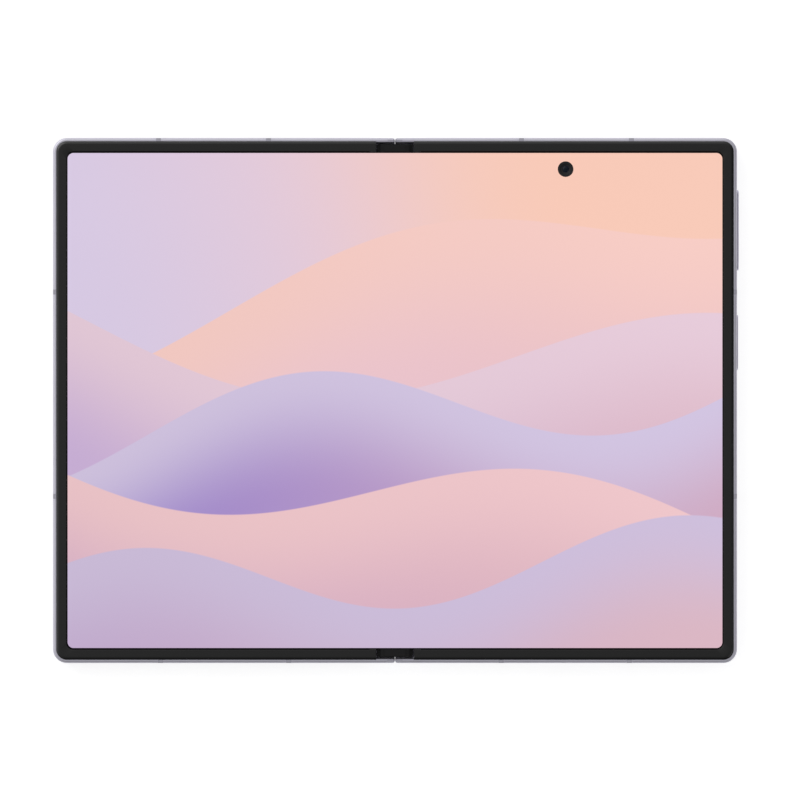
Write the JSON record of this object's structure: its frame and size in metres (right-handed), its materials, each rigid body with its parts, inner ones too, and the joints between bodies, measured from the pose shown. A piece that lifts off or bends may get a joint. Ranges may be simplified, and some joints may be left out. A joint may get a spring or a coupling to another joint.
{
  "type": "foldable smartphone",
  "caption": "Book-style foldable smartphone, open flat: two slim halves with a flexible inner display on a geared hinge that closes them flat, with side keys and a card tray.",
  "frame": {"origin": "on the plane under the camera bump, at the middle of the fold line", "axes": "+X across the fold towards the half with the keys, +Y up along the hinge, +Z out of the inner display"},
  "size_m": [0.1619, 0.1238, 0.0062],
  "materials": {
    "frame_metal": "satin anodised, lavender grey",
    "key_metal": "satin anodised, lavender grey",
    "antenna_plastic": "matte, moulded into the frame",
    "bezel_plastic": "satin black",
    "rear_glass": "frosted glass, painted behind",
    "cover_glass": "polished black glass",
    "lens_glass": "polished, coated",
    "display": "lit flexible display under a satin film",
    "cover_panel": "dark display, off",
    "steel": "machined",
    "arm_steel": "ground, oiled",
    "magnet": "nickel plated",
    "black_plastic": "moulded",
    "flash": "diffusing lens",
    "circuit_board": "solder mask",
    "battery_foil": "laminated foil pouch",
    "copper": "wound copper"
  },
  "bodies": {
    "spine": {"spine_cover": "frame_metal", "hinge_brackets": "steel", "centre_support_rail": "steel", "gear_pins": "steel", "bracket_screws": "steel", "hinge_end_caps": "bezel_plastic", "display_fold": "display"},
    "right_half": {"right_frame": "frame_metal", "right_antenna_bands": "antenna_plastic", "right_bezel": "bezel_plastic", "right_back_glass": "rear_glass", "camera_island": "frame_metal", "main_camera": "black_plastic", "ultrawide_camera": "black_plastic", "telephoto_camera": "black_plastic", "camera_lens_glass": "lens_glass", "flash_led": "flash", "front_camera": "black_plastic", "front_camera_glass": "lens_glass", "key_switches": "steel", "usb_socket": "steel", "main_board": "circuit_board", "board_shields": "steel", "lower_board": "circuit_board", "right_battery": "battery_foil", "wireless_coil": "copper", "vibration_motor": "steel", "right_magnets": "magnet", "right_hinge_screws": "steel", "right_swing_arms": "arm_steel", "right_display_backer": "steel", "display_right": "display"},
    "left_half": {"left_frame": "frame_metal", "left_antenna_bands": "antenna_plastic", "left_bezel": "bezel_plastic", "cover_glass": "cover_glass", "cover_display_panel": "cover_panel", "cover_camera": "black_plastic", "left_battery": "battery_foil", "left_board": "circuit_board", "earpiece_speaker": "black_plastic", "loudspeaker": "black_plastic", "sim_reader": "steel", "left_magnets": "magnet", "left_hinge_screws": "steel", "left_swing_arms": "arm_steel", "left_display_backer": "steel", "display_left": "display"},
    "volume_key": {"volume_key": "key_metal"},
    "power_key": {"power_key": "key_metal"},
    "sim_tray": {"sim_tray": "frame_metal"},
    "right_wing_plate": {"right_wing_plate": "steel"},
    "left_wing_plate": {"left_wing_plate": "steel"},
    "right_sync_gears": {"right_sync_gears": "steel"},
    "right_idler_gears": {"right_idler_gears": "steel"},
    "left_idler_gears": {"left_idler_gears": "steel"},
    "left_sync_gears": {"left_sync_gears": "steel"}
  },
  "joints": [
    {"name": "fold", "type": "hinge", "parent": "spine", "child": "right_half", "pos_m": [0.0012, 0, 0.0051], "axis": [0, -1, 0], "range_deg": [0, 90], "deforming": ["display_fold"]},
    {"name": "left_fold", "type": "hinge", "parent": "spine", "child": "left_half", "pos_m": [-0.0012, 0, 0.0051], "axis": [0, 1, 0], "range_deg": [0, 90]},
    {"name": "right_wing_turn", "type": "hinge", "parent": "right_half", "child": "right_wing_plate", "pos_m": [0.0063, 0, 0.00525], "axis": [0, 1, 0], "range_deg": [-25.2, 0]},
    {"name": "left_wing_turn", "type": "hinge", "parent": "left_half", "child": "left_wing_plate", "pos_m": [-0.0063, 0, 0.00525], "axis": [0, 1, 0], "range_deg": [0, 25.2]},
    {"name": "right_sync_turn", "type": "hinge", "parent": "spine", "child": "right_sync_gears", "pos_m": [0.00241, 0, 0.0041], "axis": [0, 1, 0], "range_deg": [-90, 0]},
    {"name": "right_idler_turn", "type": "hinge", "parent": "spine", "child": "right_idler_gears", "pos_m": [0.0008, 0, 0.0041], "axis": [0, 1, 0], "range_deg": [0, 90]},
    {"name": "left_idler_turn", "type": "hinge", "parent": "spine", "child": "left_idler_gears", "pos_m": [-0.0008, 0, 0.0041], "axis": [0, 1, 0], "range_deg": [-90, 0]},
    {"name": "left_sync_turn", "type": "hinge", "parent": "spine", "child": "left_sync_gears", "pos_m": [-0.00241, 0, 0.0041], "axis": [0, 1, 0], "range_deg": [0, 90]},
    {"name": "volume_press", "type": "slide", "parent": "right_half", "child": "volume_key", "axis": [-1, 0, 0], "range_m": [0, 0.00025], "stiffness_N_per_m": 7000},
    {"name": "power_press", "type": "slide", "parent": "right_half", "child": "power_key", "axis": [-1, 0, 0], "range_m": [0, 0.00025], "stiffness_N_per_m": 7000},
    {"name": "sim_tray_slide", "type": "slide", "parent": "left_half", "child": "sim_tray", "axis": [-1, 0, 0], "range_m": [0, 0.021]}
  ],
  "couplings": [
    {"joint": "left_fold", "follows": "fold", "ratio": 1},
    {"joint": "right_wing_turn", "follows": "fold", "ratio": -0.28},
    {"joint": "left_wing_turn", "follows": "fold", "ratio": 0.28},
    {"joint": "right_sync_turn", "follows": "fold", "ratio": -1},
    {"joint": "right_idler_turn", "follows": "fold", "ratio": 1},
    {"joint": "left_idler_turn", "follows": "fold", "ratio": -1},
    {"joint": "left_sync_turn", "follows": "fold", "ratio": 1}
  ]
}
